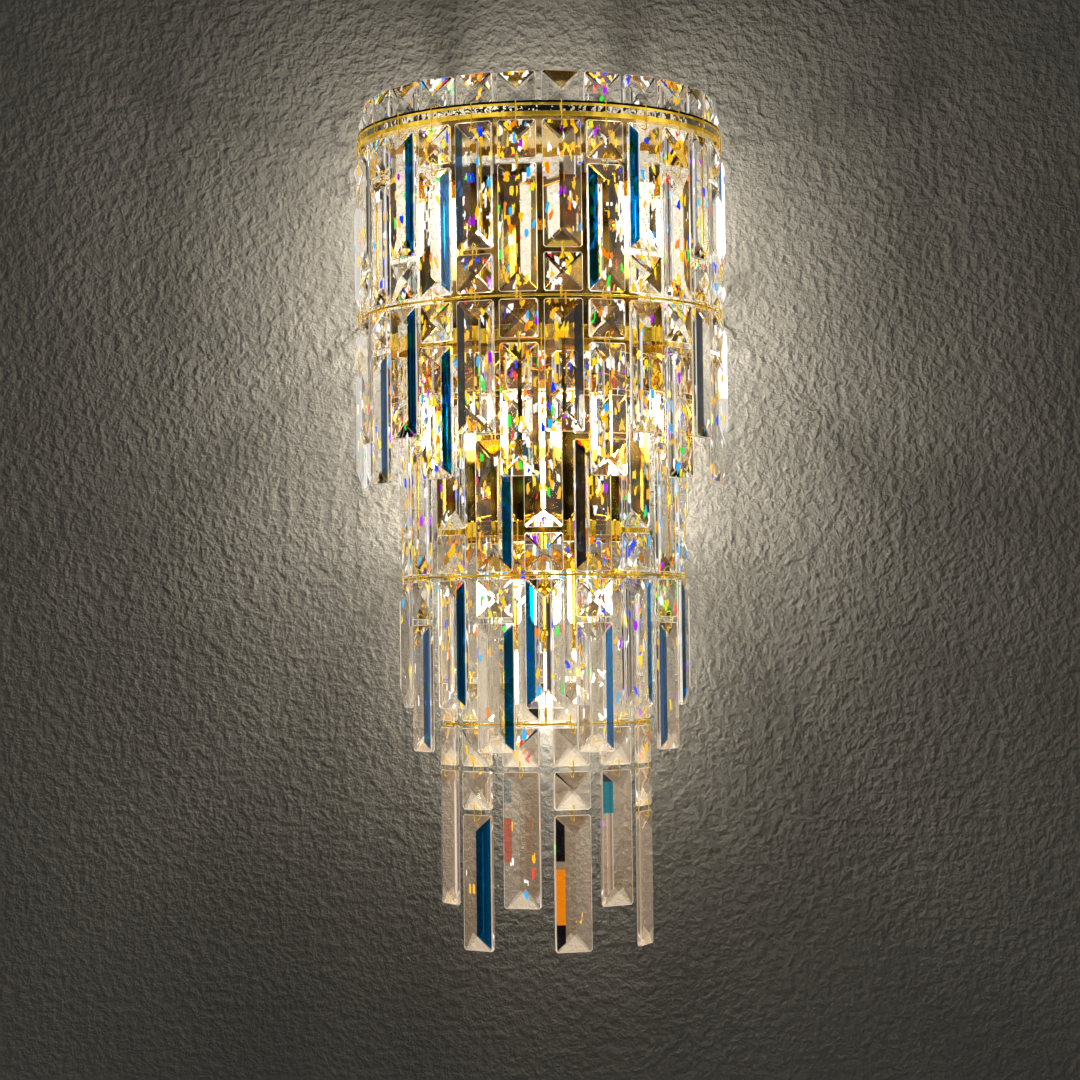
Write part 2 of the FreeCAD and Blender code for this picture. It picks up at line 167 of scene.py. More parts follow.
def bump(start, height, distance):
    return start.node("Bump", None, {"Height": height, "Distance": distance, "Strength": 1.0})


def partOf(start, vector, axis):
    return start.node("SeparateXYZ", None, {"Vector": vector}, axis)


def channel(start, colour, number):
    return start.node("SeparateColor", None, {"Color": colour}, number)


# ---- finishes: heights and widths in metres
# the glass's warm glow low down is painted light, its glow heights are given below
crystalLook = {
    "ior": 1.54, "tint": (0.995, 0.97, 0.935), "head": (0.50, 0.42, 0.34), "foot": (0.21, 0.165, 0.115),
    "cells": 290.0, "cellShape": (1.2, 1.2, 0.48), "glintLevel": 1.1,
    "share": 0.085, "lowShare": 0.005, "shareRises": (-0.34, -0.10), "sparkShare": 0.40,
    "crownShare": 0.35, "crownFrom": (0.172, 0.176), "sideShare": 0.35, "sideFrom": (0.085, 0.135),
    "hazeGlow": (0.058, 0.036, 0.018), "paintedGlowEnds": (-0.36, -0.20), "darkEnd": (0.002, 0.002, 0.006), "bandGlow": 0.6,
    "edgeGrain": 260.0, "edgeGlow": ((1.0, 0.80, 0.55), (1.0, 0.97, 0.90))}
# painted highlights: glint cells beside the top pair of lamps glow in this colour
topLampLight = {"across": 0.074, "height": 0.102, "flatten": 0.6, "reach": (0.004, 0.019), "share": 0.62,
                "colour": (1.0, 0.95, 0.82)}
glintHues = [(0.0, (1.0, 0.50, 0.01)), (0.24, (1.0, 0.70, 0.02)), (0.46, (1.0, 0.22, 0.0)), (0.53, (1.0, 1.0, 0.95)),
             (0.80, (0.02, 0.45, 0.95)), (0.87, (0.0, 0.05, 1.0)), (0.92, (0.02, 0.85, 0.05)),
             (0.955, (0.95, 0.02, 0.02)), (0.98, (0.40, 0.0, 0.85))]
black = (0.0, 0.0, 0.0)


def addGlints(start, values, tint, hazeGlow, fixedShare):
    # painted glints: small glowing patches of spectral colour that stand in for the light the lit crystal throws, fewer
    # at the sides and low down, away from the bulbs
    look, lamp = crystalLook, topLampLight
    across = partOf(start, objectPlace(start), 0)
    height = partOf(start, objectPlace(start), 2)
    cells = start.node("TexVoronoi", {"feature": "F1", "distance": "CHEBYCHEV"},
                       {"Vector": objectPlace(start, look["cellShape"]), "Scale": look["cells"]}, "Color")
    share = look["lowShare"] + height.step(*look["shareRises"]) * (look["share"] - look["lowShare"])
    share = share * (1.0 - height.step(*look["crownFrom"]) * (1.0 - look["crownShare"]))
    share = share * (1.0 - start.maths("ABSOLUTE", across).step(*look["sideFrom"]) * (1.0 - look["sideShare"]))
    lit = start.maths("LESS_THAN", channel(start, cells, 0), share if fixedShare is None else fixedShare)
    hue = start.node("ValToRGB", {"stops": glintHues}, {"Fac": channel(start, cells, 1)})
    # painted highlights: facets beside the top pair of lamps glow in the lamps' colour, for the light they catch
    aside = start.maths("ABSOLUTE", start.maths("ABSOLUTE", across) - lamp["across"])
    above = start.maths("ABSOLUTE", height - lamp["height"]) * lamp["flatten"]
    near = 1.0 - start.maths("MAXIMUM", aside, above).step(*lamp["reach"])
    struck = start.maths("LESS_THAN", channel(start, cells, 2), near * lamp["share"])
    hue = mixColour(start, struck, hue, lamp["colour"])
    lit = start.maths("MAXIMUM", lit, struck)
    # a warm painted glow in the glass, full low down and gone higher up
    paintedWarmGlow = mixColour(start, height.step(*look["paintedGlowEnds"]), hazeGlow, black)
    values["Base Color"] = mixColour(start, lit, tint, black)
    values["Emission Color"] = mixColour(start, lit, paintedWarmGlow, hue)
    values["Emission Strength"] = look["glintLevel"]


def crystalMaterial(name, tint, glints=True, rough=0.0, paintedEdgeGlow=0.0, hazeGlow=crystalLook["hazeGlow"], fixedShare=None):
    material, start = newMaterial(name)
    values = {"Base Color": opaque(tint), "Roughness": rough, "IOR": crystalLook["ior"], "Transmission Weight": 1.0}
    if glints:
        addGlints(start, values, tint, hazeGlow, fixedShare)
    if paintedEdgeGlow:
        # painted glow on the ground edges, for light that runs inside the crystal and leaves it there
        grain = noise(start, objectPlace(start), crystalLook["edgeGrain"])
        values["Emission Color"] = mixColour(start, grain.step(0.3, 0.7), *crystalLook["edgeGlow"])
        values["Emission Strength"] = paintedEdgeGlow
    return principled(material, start, values)


def bandedMaterial(name, colour, low, high, other, otherBelow, otherAbove, clearGlow=(0.05, 0.035, 0.02)):
    # painted reflection: glass tinted one colour between two heights, another above and below, and clear where neither
    # is; the tinted band and the clear glass also glow a little, painted light
    material, start = newMaterial(name)
    height = partOf(start, objectPlace(start), 2)
    inside = start.maths("GREATER_THAN", height, low) * start.maths("LESS_THAN", height, high)
    beyond = start.maths("GREATER_THAN", height, otherAbove)
    if otherBelow is not None:
        beyond = start.maths("MAXIMUM", beyond, start.maths("LESS_THAN", height, otherBelow))
    tone = mixColour(start, inside, crystalLook["tint"], colour)
    glow = mixColour(start, inside, clearGlow, tuple(crystalLook["bandGlow"] * c for c in colour))
    return principled(material, start, {
        "Base Color": mixColour(start, beyond, tone, other), "Roughness": 0.0, "IOR": crystalLook["ior"],
        "Transmission Weight": 1.0, "Emission Color": mixColour(start, beyond, glow, black), "Emission Strength": 1.0})


crystalMaterials = {
    "clear": crystalMaterial("crystalClear", crystalLook["tint"]),
    # navy, black and blue tint single facets, painted dark reflections
    "navy": crystalMaterial("crystalNavy", (0.0, 0.008, 0.09), glints=False),
    "black": crystalMaterial("crystalBlack", (0.002, 0.002, 0.003), glints=False),
    "blue": crystalMaterial("crystalBlue", (0.0, 0.020, 0.24), glints=False),
    # amber, red-brown and teal bands are painted reflections
    "amber": bandedMaterial("crystalAmber", (1.0, 0.24, 0.002), -0.4565, -0.4126, crystalLook["darkEnd"], -0.4565,
                            -0.4066),
    "rust": bandedMaterial("crystalRust", (0.36, 0.045, 0.015), -0.4073, -0.3724, (0.30, 0.42, 0.50), None, -0.3600),
    "teal": bandedMaterial("crystalTeal", (0.0, 0.10, 0.16), -0.3700, -0.3450, crystalLook["darkEnd"], None, -0.3450),
    # ground edges: rough glass with a painted glow
    "ground": crystalMaterial("crystalGround", (1.0, 1.0, 1.0), glints=False, rough=0.30, paintedEdgeGlow=0.17),
    # foot facets glow cream low down, a painted glow for light the crystal throws out at its lower end
    "foot": crystalMaterial("crystalFoot", crystalLook["tint"], hazeGlow=crystalLook["foot"]),
    # head: the front top facet tinted darker, painted shade
    "head": crystalMaterial("crystalHead", crystalLook["head"]),
    # spark: dense painted glints
    "spark": crystalMaterial("crystalSpark", crystalLook["tint"], fixedShare=crystalLook["sparkShare"]),
}

goldLook = {"cloud": 45.0, "brushed": 900.0, "waves": 170.0, "thrown": 140.0, "thrownLow": 0.35}


def goldMaterial(name, colour, deep, rough, roughSpread, scratches, waves=0.0, glow=0.0):
    material, start = newMaterial(name)
    place = objectPlace(start)
    cloud = noise(start, place, goldLook["cloud"], 3.0)
    fine = noise(start, objectPlace(start, (1.0, 1.0, 6.0)), goldLook["brushed"])
    tone = mixColour(start, cloud.step(0.35, 0.7), colour, deep)
    normal = bump(start, fine, scratches)
    if waves:
        normal = bump(start, noise(start, place, goldLook["waves"], 1.0), waves)
    values = {"Base Color": tone, "Roughness": rough + roughSpread * cloud + fine * (roughSpread * 0.5),
              "Metallic": 1.0, "Normal": normal}
    if glow:
        # painted light: a patchy glow for the light that the crystals throw on it
        thrown = noise(start, objectPlace(start, (1.0, 1.0, 0.4)), goldLook["thrown"]).step(0.42, 0.66)
        values["Emission Color"] = mixColour(start, thrown, tuple(goldLook["thrownLow"] * c for c in deep), colour)
        values["Emission Strength"] = glow
    return principled(material, start, values)


polishedGold = goldMaterial("polishedGold", (1.0, 0.70, 0.06), (0.94, 0.57, 0.03), 0.06, 0.07, 0.00002)
# the band and the wire get a painted glow
bandGold = goldMaterial("bandGold", (1.0, 0.68, 0.06), (0.95, 0.56, 0.03), 0.22, 0.12, 0.00003, glow=0.55)
bandMirror = goldMaterial("bandMirror", (1.0, 0.90, 0.70), (0.97, 0.80, 0.48), 0.02, 0.05, 0.00002, waves=0.003)
# the top edge of the top band, near black: painted shade
bandShade = goldMaterial("bandShade", (0.020, 0.014, 0.010), (0.010, 0.008, 0.007), 0.35, 0.10, 0.00002)
# the back plate's gold is far darker than the metal's own colour, painted shade for the dark room it reflects
mirrorGold = goldMaterial("mirrorGold", (0.36, 0.24, 0.045), (0.27, 0.17, 0.03), 0.01, 0.03, 0.00001)
goldWire = goldMaterial("goldWire", (1.0, 0.74, 0.08), (0.93, 0.60, 0.04), 0.12, 0.08, 0.00001, glow=0.35)


zincLook = {"flakes": 160.0, "dark": (0.50, 0.51, 0.53), "pale": (0.68, 0.69, 0.70), "rough": 0.30, "spread": 0.18,
            "grain": 700.0, "depth": 0.00004}
mouldLook = {"cloud": 60.0, "spread": 0.15}
sleeveLook = {"braid": 420.0, "dark": (0.50, 0.47, 0.40), "pale": (0.80, 0.77, 0.69), "depth": 0.0001}
bulbLook = {"ior": 1.47, "hazeGlow": 120.0, "glassGlow": 3.5, "grain": 160.0, "coreColour": (1.0, 0.9, 0.7),
            "coreGlow": 40.0}


def zincMaterial():
    material, start = newMaterial("zincSteel")
    cells = start.node("TexVoronoi", {"feature": "F1"}, {
        "Vector": objectPlace(start), "Scale": zincLook["flakes"]}, "Color")
    flake = channel(start, cells, 0)
    return principled(material, start, {
        "Base Color": mixColour(start, flake, zincLook["dark"], zincLook["pale"]),
        "Roughness": zincLook["rough"] + flake * zincLook["spread"], "Metallic": 1.0,
        "Normal": bump(start, noise(start, objectPlace(start), zincLook["grain"]), zincLook["depth"])})


def mouldedMaterial(name, colour, dark, rough, grain, depth):
    material, start = newMaterial(name)
    cloud = noise(start, objectPlace(start), mouldLook["cloud"], 3.0)
    fine = noise(start, objectPlace(start), grain)
    return principled(material, start, {
        "Base Color": mixColour(start, cloud.step(0.3, 0.75), colour, dark),
        "Roughness": rough + fine * mouldLook["spread"], "Normal": bump(start, fine, depth)})


def sleeveMaterial():
    # braided glass-fibre sleeving
    material, start = newMaterial("sleeve")
    braids = [start.node("TexWave", {"wave_type": "BANDS", "bands_direction": "DIAGONAL"}, {
        "Vector": objectPlace(start, (way, 1.0, 1.0)), "Scale": sleeveLook["braid"]}, "Fac") for way in (1.0, -1.0)]
    weave = start.maths("MAXIMUM", *braids)
    tone = mixColour(start, weave, sleeveLook["dark"], sleeveLook["pale"])
    return principled(material, start, {
        "Base Color": tone, "Roughness": 0.75, "Normal": bump(start, weave, sleeveLook["depth"])})


def bulbGlassMaterial():
    # the glass itself shines, from the light that scatters in it
    material, start = newMaterial("bulbGlass")
    hazeGlow = noise(start, objectPlace(start), bulbLook["hazeGlow"])
    tone = mixColour(start, hazeGlow, (1.0, 0.985, 0.95), (1.0, 1.0, 1.0))
    glow = mixColour(start, hazeGlow.step(0.3, 0.7), (1.0, 0.80, 0.48), (1.0, 0.90, 0.68))
    return principled(material, start, {
        "Base Color": tone, "Roughness": 0.05, "IOR": bulbLook["ior"], "Transmission Weight": 1.0,
        "Emission Color": glow, "Emission Strength": bulbLook["glassGlow"]}, isLamp=True)


def glowMaterial():
    material, start = newMaterial("lampGlow")
    grain = noise(start, objectPlace(start), bulbLook["grain"], 1.0)
    return principled(material, start, {
        "Base Color": opaque(bulbLook["coreColour"]), "Roughness": 0.6,
        "Emission Color": mixColour(start, grain, (1.0, 0.80, 0.50), (1.0, 0.90, 0.70)),
        "Emission Strength": bulbLook["coreGlow"]}, isLamp=True)


zincSteel = zincMaterial()
grommetRubber = mouldedMaterial("grommetRubber", (0.030, 0.030, 0.032), (0.018, 0.018, 0.019), 0.60, 1500.0, 0.00005)
blockPlastic = mouldedMaterial("blockPlastic", (0.72, 0.71, 0.66), (0.64, 0.62, 0.56), 0.38, 1100.0, 0.00003)
holderCeramic = mouldedMaterial("holderCeramic", (0.80, 0.77, 0.70), (0.68, 0.63, 0.54), 0.22, 500.0, 0.00004)
bulbBase = mouldedMaterial("bulbBase", (0.82, 0.81, 0.78), (0.74, 0.72, 0.68), 0.28, 900.0, 0.00002)
sleeve = sleeveMaterial()
bulbGlass = bulbGlassMaterial()
lampGlow = glowMaterial()
print("finishes ready")


# ---- geometry node trees
class Build:
    # adds nodes to a geometry tree and links them
    def __init__(self, name, sizes):
        self.tree = bpy.data.node_groups.new(name, "GeometryNodeTree")
        face = self.tree.interface
        face.new_socket("Geometry", in_out="INPUT", socket_type="NodeSocketGeometry")
        for key, kind in sizes.items():
            face.new_socket(key, in_out="INPUT", socket_type="NodeSocket" + kind)
        face.new_socket("Geometry", in_out="OUTPUT", socket_type="NodeSocketGeometry")
        self.source = self.tree.nodes.new("NodeGroupInput")
        self.end = self.tree.nodes.new("NodeGroupOutput")

    def given(self, key):
        return self.source.outputs[key]

    def add(self, kind, settings=None, inputs=None, output=0):
        made = self.tree.nodes.new(kind)
        for key, value in (settings or {}).items():
            setattr(made, key, value)
        for key, value in (inputs or {}).items():
            if isinstance(value, bpy.types.NodeSocket):
                self.tree.links.new(value, made.inputs[key])
            else:
                made.inputs[key].default_value = value
        return made.outputs[output]

    def painted(self, shape, finish="Finish", **where):
        return self.add("GeometryNodeSetMaterial", None, {"Geometry": shape, "Material": self.given(finish), **where})

    def done(self, geometry):
        self.tree.links.new(geometry, self.end.inputs[0])
        return self.tree


def bentRodTree():
    # edges become round wire with rounded bends
    build = Build("bentRod", {"Wire Radius": "Float", "Bend Radius": "Float", "Bend Steps": "Int", "Sides": "Int",
                              "Finish": "Material"})
    line = build.add("GeometryNodeMeshToCurve", None, {"Mesh": build.given("Geometry")})
    bent = build.add("GeometryNodeFilletCurve", {"mode": "POLY"}, {
        "Curve": line, "Count": build.given("Bend Steps"), "Radius": build.given("Bend Radius"), "Limit Radius": True})
    section = build.add("GeometryNodeCurvePrimitiveCircle", None, {
        "Resolution": build.given("Sides"), "Radius": build.given("Wire Radius")})
    rod = build.add("GeometryNodeCurveToMesh", None, {"Curve": bent, "Profile Curve": section, "Fill Caps": True})
    smooth = build.add("GeometryNodeSetShadeSmooth", None, {0: rod})
    real = build.add("GeometryNodeRealizeInstances", None, {0: smooth})
    return build.done(build.painted(real))


# numbers that mark the facets of a cut with their material
strips = {key: number for number, key in enumerate(list(crystalMaterials)[1:], 1)}


def hungCrystalsTree():
    # each vertex becomes the cut crystal that its number picks, turned as it says
    build = Build("hungCrystals", {"Cuts": "Collection", **{key: "Material" for key in crystalMaterials}})
    cuts = build.add("GeometryNodeCollectionInfo", None, {
        "Collection": build.given("Cuts"), "Separate Children": True, "Reset Children": True})
    pick = build.add("GeometryNodeInputNamedAttribute", {"data_type": "INT"}, {"Name": "cut"})
    turned = build.add("GeometryNodeInputNamedAttribute", {"data_type": "FLOAT_VECTOR"}, {"Name": "turn"})
    rotation = build.add("FunctionNodeEulerToRotation", None, {0: turned})
    hung = build.add("GeometryNodeInstanceOnPoints", None, {
        "Points": build.given("Geometry"), "Instance": cuts, "Pick Instance": True, "Instance Index": pick,
        "Rotation": rotation})
    shape = build.add("GeometryNodeRealizeInstances", None, {0: hung})
    strip = build.add("GeometryNodeInputNamedAttribute", {"data_type": "INT"}, {"Name": "strip"})
    shape = build.painted(shape, "clear")
    for key, number in strips.items():
        same = build.add("FunctionNodeCompare", {"data_type": "INT", "operation": "EQUAL"}, {2: strip, 3: number})
        shape = build.painted(shape, key, Selection=same)
    return build.done(shape)


def placedCopiesTree():
    # each vertex becomes one copy of the part
    build = Build("placedCopies", {"Part": "Object", "Finish": "Material"})
    part = build.add("GeometryNodeObjectInfo", {"transform_space": "ORIGINAL"}, {"Object": build.given("Part")},
                     "Geometry")
    placed = build.add("GeometryNodeInstanceOnPoints", None, {"Points": build.given("Geometry"), "Instance": part})
    shape = build.add("GeometryNodeRealizeInstances", None, {0: placed})
    return build.done(build.painted(shape))


rodTree = bentRodTree()
crystalTree = hungCrystalsTree()
copiesTree = placedCopiesTree()


def meshObject(name, points, edges=(), faces=()):
    mesh = bpy.data.meshes.new(name)
    mesh.from_pydata([tuple(p) for p in points], edges, faces)
    mesh.validate()
    made = bpy.data.objects.new(name, mesh)
    bpy.context.scene.collection.objects.link(made)
    return made


def grow(piece, tree, values):
    modifier = piece.modifiers.new("grow", "NODES")
    modifier.node_group = tree
    for item in tree.interface.items_tree:
        if item.item_type == "SOCKET" and item.in_out == "INPUT" and item.name in values:
            modifier[item.identifier] = values[item.name]


# pieces wait here until all are grown: piece, body, nodes that it replaces, slot
waiting = []


def inMetres(points, place=Matrix.Identity(4)):
    return [place @ Vector(p) * mm for p in points]


def inPlan(radius, degrees):
    # a point of an arc about the lamp's upright axis, seen from above; 0 degrees is the front
    angle = math.radians(degrees)
    return (radius * math.sin(angle), -arcSetback - radius * math.cos(angle))


def turnedOut(shape):
    # faces outwards
    bmesh.ops.recalc_face_normals(shape, faces=shape.faces)


def wires(name, paths, radius, bend, body, replaced, steps=3, sides=8, closed=False, polished=False):
    points, edges = [], []
    for path in paths:
        first = len(points)
        points += path
        edges += [(first + i, first + i + 1) for i in range(len(path) - 1)]
        if closed:
            edges.append((first + len(path) - 1, first))
    piece = meshObject(name, points, edges)
    grow(piece, rodTree, {"Wire Radius": radius * mm, "Bend Radius": bend * mm, "Bend Steps": steps, "Sides": sides,
                          "Finish": polishedGold if polished else goldWire})
    waiting.append((piece, body, replaced, "polished_gold" if polished else "gold_wire"))


# ---- the crystals' cuts
cutSizes = {"width": 30.5, "ridge": 7.0, "girdle": 1.0, "edge": 1.75, "edgeIn": 0.55,
            "corner": 1.6, "cornerLoss": 0.586, "hip": 15.25, "hole": 5.0}
stripShares = {"navy": 0.46, "black": 0.48, "blue": 0.80, "amber": 0.46, "rust": 0.50, "teal": 0.55}


def cutCrystal(length, strip=None, stripSide=1, accent=0):
    # hangs down from z = 0; strip colours a long front facet near one edge, a painted reflection; accent 1 paints both
    # upper hips in front black, a painted dark reflection, 2 and 3 one of them, 1 and 3 put painted glints on the facet
    # between them
    half = cutSizes["width"] / 2
    corner = cutSizes["corner"]
    points, faces, marks = [], [], []
    ground, foot, head = strips["ground"], strips["foot"], strips["head"]

    def loop(inset, depth):
        w, top, low, c = half - inset, -inset, -length + inset, corner - cutSizes["cornerLoss"] * inset
        around = [(-w + c, top), (w - c, top), (w, top - c), (w, low + c), (w - c, low), (-w + c, low), (-w, low + c),
                  (-w, top - c)]
        first = len(points)
        points.extend((x, depth, z) for x, z in around)
        return [first + i for i in range(8)]

    def face(*corners, mark=0):
        faces.append(corners)
        marks.append(mark)

    def band(near, far, mark):
        for i in range(8):
            face(near[i], near[(i + 1) % 8], far[(i + 1) % 8], far[i], mark=mark)

    girdle = [loop(0, -cutSizes["girdle"]), loop(0, cutSizes["girdle"])]
    band(*girdle, 0)
    for side, rim in ((-1, girdle[0]), (1, girdle[1])):
        edge = loop(cutSizes["edgeIn"], side * cutSizes["edge"])
        band(rim, edge, ground)
        ridgeTop = len(points)
        points.append((0, side * cutSizes["ridge"], -cutSizes["hip"]))
        ridgeFoot = ridgeTop
        if length - 2 * cutSizes["hip"] > 0.1:
            ridgeFoot = ridgeTop + 1
            points.append((0, side * cutSizes["ridge"], -length + cutSizes["hip"]))
        for i in range(8):
            a, b = edge[i], edge[(i + 1) % 8]
            if i in (2, 6) and ridgeFoot != ridgeTop:
                high, low = (a, b) if i == 2 else (b, a)
                if strip and side == -1 and (i == 2) == (stripSide == 1):
                    share = stripShares[strip]
                    middle = len(points)
                    for outer, inner in ((high, ridgeTop), (low, ridgeFoot)):
                        points.append(tuple(Vector(points[outer]).lerp(Vector(points[inner]), share)))
                    face(high, low, middle + 1, middle, mark=strips[strip])
                    face(middle, middle + 1, ridgeFoot, ridgeTop)
                else:
                    face(high, low, ridgeFoot, ridgeTop)
            else:
                # the lower end facet gets the painted foot glow, the front top facet the darker head tint, painted
                # shade
                mark = foot if i == 4 else head if i == 0 and side == -1 else 0
                if accent and side == -1:
                    if i in ((1, 7), (7,), (1,))[accent - 1]:
                        mark = strips["black"]
                    elif i == 0 and accent != 2:
                        mark = strips["spark"]
                face(a, b, ridgeTop if i in (7, 0, 1, 2) else ridgeFoot, mark=mark)
    mesh = bpy.data.meshes.new("cut")
    mesh.from_pydata([tuple(v * mm for v in p) for p in points], [], faces)
    mesh.attributes.new("strip", "INT", "FACE").data.foreach_set("value", marks)
    clean = bmesh.new()
    clean.from_mesh(mesh)
    turnedOut(clean)
    clean.to_mesh(mesh)
    clean.free()
    return mesh


cuts = bpy.data.collections.new("cuts")
cutNumbers = {}


def cutNumber(length, strip=None, stripSide=1, accent=0):
    key = (length, strip, stripSide if strip else 1, accent)
    if key not in cutNumbers:
        cutNumbers[key] = len(cutNumbers)
        cuts.objects.link(bpy.data.objects.new("cut%03d" % cutNumbers[key], cutCrystal(*key)))
    return cutNumbers[key]


# ---- the tiers, as the CAD has them: S is a square crystal, P a long prism
tiers = [
    {"name": "top_tier", "radius": 146.5, "count": 14, "pitch": 13.6, "bandFoot": 173.8, "ringHeight": 34.8,
     "upperPrism": 99.9, "lowerPrism": 103.5, "gap": 3.6, "twist": 2.5,
     "upper": ("SP", "PS"), "lower": ("SP", "P"), "hangers": (-68.0, -27.2, 27.2, 68.0)},
    {"name": "middle_tier", "radius": 113.0, "count": 9, "pitch": 20.0, "bandFoot": 4.0, "ringHeight": -181.0,
     "upperPrism": 104.0, "lowerPrism": 101.5, "gap": 4.2, "twist": 3.0,
     "upper": ("SPS", "SSP"), "lower": ("P", "SP"), "hangers": (-70.0, -30.0, 30.0, 70.0)},
    {"name": "bottom_tier", "radius": 84.5, "count": 6, "pitch": 27.2, "bandFoot": -149.0, "ringHeight": -298.6,
     "upperPrism": 108.0, "lowerPrism": 108.0, "gap": 4.0, "twist": 5.0,
     "upper": ("SP", "PS"), "lower": ("SP", "SSP"), "hangers": (-54.4, 0.0, 54.4)},
]
linkSizes = {"radius": 0.45, "reach": 4.3, "bend": 1.6, "side": 1.6, "slack": 0.1, "gap": 0.2, "hookBend": 0.9}
ringSizes = {"radius": 0.9, "above": 2.6, "below": 2.9, "back": -2.0, "hangerRadius": 0.9, "hangerIn": 9.0,
             "hangerBend": 4.0}
arcSetback = 12.0

# painted reflection strips, seen in the photograph: strand -> {crystal from the top: (strip, side)}
seenStrips = {
    ("bottom_tier", "lower", 1): {2: ("blue", 1)},
    ("bottom_tier", "lower", 3): {2: ("amber", -1)},
    ("bottom_tier", "lower", 2): {1: ("rust", -1)},
    ("bottom_tier", "lower", 4): {1: ("teal", -1)},
    ("middle_tier", "lower", 1): {1: ("navy", 1)},
    ("middle_tier", "lower", 2): {0: ("navy", 1)},
    ("middle_tier", "lower", 3): {1: ("navy", 1)},
    ("middle_tier", "lower", 6): {0: ("navy", 1)},
    ("top_tier", "upper", 4): {1: ("navy", 1)},
    ("top_tier", "upper", 5): {0: ("navy", -1)},
    ("top_tier", "lower", 3): {0: ("navy", 1)},
    ("top_tier", "lower", 4): {1: ("navy", 1)},
    ("middle_tier", "upper", 5): {2: ("black", -1)},
    ("middle_tier", "upper", 3): {2: ("navy", 1)},
}
# accents paint dark reflections and glints on the square crystals, strand by strand
accents = {"crown": (1, 3, 1, 2), "top_tier": (1, 0, 2, 3, 1), "middle_tier": (1, 0, 2, 3, 0),
           "bottom_tier": (0, 0, 2, 0, 3)}
# more painted reflection strips, on prisms picked at random
otherStrips = {"seed": 7, "share": 0.30, "kinds": ("navy", "navy", "black")}
chance = random.Random(otherStrips["seed"])
waves = {"twist": (2.4, 0.7), "lean": (1.9, 0.4)}


def strandPlace(radius, theta, twist=0.0):
    return (Matrix.Translation((0, -arcSetback, 0)) @ Matrix.Rotation(math.radians(theta), 4, "Z")
            @ Matrix.Translation((0, -radius, 0)) @ Matrix.Rotation(math.radians(twist), 4, "Z"))


def wave(kind, k):
    # twist and lean change a little from strand to strand
    pace, start = waves[kind]
    return math.sin(pace * k + start)


def strandAngles(tier):
    return [-tier["pitch"] * (tier["count"] - 1) / 2 + tier["pitch"] * k for k in range(tier["count"])]


def linkPath(place, x, high, low):
    reach = linkSizes["reach"]
    return inMetres(((x, -reach, high), (x, -reach, low), (x, reach, low), (x, reach, high)), place)


def crystalPieces(name, rows, body, replaced):
    # rows are (placing matrix in millimetres, number of its cut)
    piece = meshObject(name, [m.translation * mm for m, number in rows])
    cutData = piece.data.attributes.new("cut", "INT", "POINT")
    cutData.data.foreach_set("value", [number for m, number in rows])
    turnData = piece.data.attributes.new("turn", "FLOAT_VECTOR", "POINT")
    turnData.data.foreach_set("vector", [v for m, number in rows for v in m.to_euler("XYZ")])
    grow(piece, crystalTree, {"Cuts": cuts, **crystalMaterials})
    waiting.append((piece, body, replaced, "crystal"))


def hang(tier, part, k, place, top):
    # one strand from the top down: its crystals, and the links between them
    prism = tier["upperPrism"] if part == "upper" else tier["lowerPrism"]
    kinds = tier[part][k % 2]
    rows, links, z = [], [], top
    for i, kind in enumerate(kinds):
        length = cutSizes["width"] if kind == "S" else prism
        strip, side = seenStrips.get((tier["name"], part, k), {}).get(i, (None, 1))
        if kind == "P" and strip is None and chance.random() < otherStrips["share"]:
            strip, side = chance.choice(otherStrips["kinds"]), chance.choice((-1, 1))
        accent = accents[tier["name"]][(2 * k + i) % 5] if kind == "S" else 0
        rows.append((place @ Matrix.Translation((0, 0, z)), cutNumber(length, strip, side, accent)))
        z -= length
        if i < len(kinds) - 1:
            links.append(linkPath(place, 0.0, z + cutSizes["hole"], z - tier["gap"] - cutSizes["hole"]))
            z -= tier["gap"]
    return rows, links, z


def upperTop(tier):
    lengths = [cutSizes["width"] if kind == "S" else tier["upperPrism"] for kind in tier["upper"][0]]
    return tier["ringHeight"] + ringSizes["above"] + sum(lengths) + tier["gap"] * (len(lengths) - 1)


for tier in tiers:
    name, ringHeight = tier["name"], tier["ringHeight"]
    overRing = ringHeight + ringSizes["radius"] + linkSizes["radius"] + linkSizes["slack"]
    underRing = ringHeight - ringSizes["radius"] - linkSizes["radius"] - linkSizes["slack"]
    upperRows, upperLinks = [], []
    for k, theta in enumerate(strandAngles(tier)):
        place = strandPlace(tier["radius"], theta)
        rows, links, foot = hang(tier, "upper", k, place, upperTop(tier))
        links.append(linkPath(place, -linkSizes["side"], foot + cutSizes["hole"], underRing))
        upperRows += rows
        upperLinks += links
        # the strand that swings from the ring
        place = strandPlace(tier["radius"], theta, tier["twist"] * wave("twist", k))
        head = ringHeight - ringSizes["below"]
        rows, links, foot = hang(tier, "lower", k, place, head)
        links.append(linkPath(place, linkSizes["side"], overRing, head - cutSizes["hole"]))
        body = "%s_strand_%02d" % (name, k + 1)
        crystalPieces(body + "_glass", rows, body, [body])
        wires(body + "_wire", links, linkSizes["radius"], linkSizes["bend"], body, [body], closed=True)
    crystalPieces(name + "_upper_glass", upperRows, "frame", [name + "_upper_crystals"])
    wires(name + "_upper_wire", upperLinks, linkSizes["radius"], linkSizes["bend"], "frame", [name + "_upper_links"],
          closed=True)
print("strands laid out")


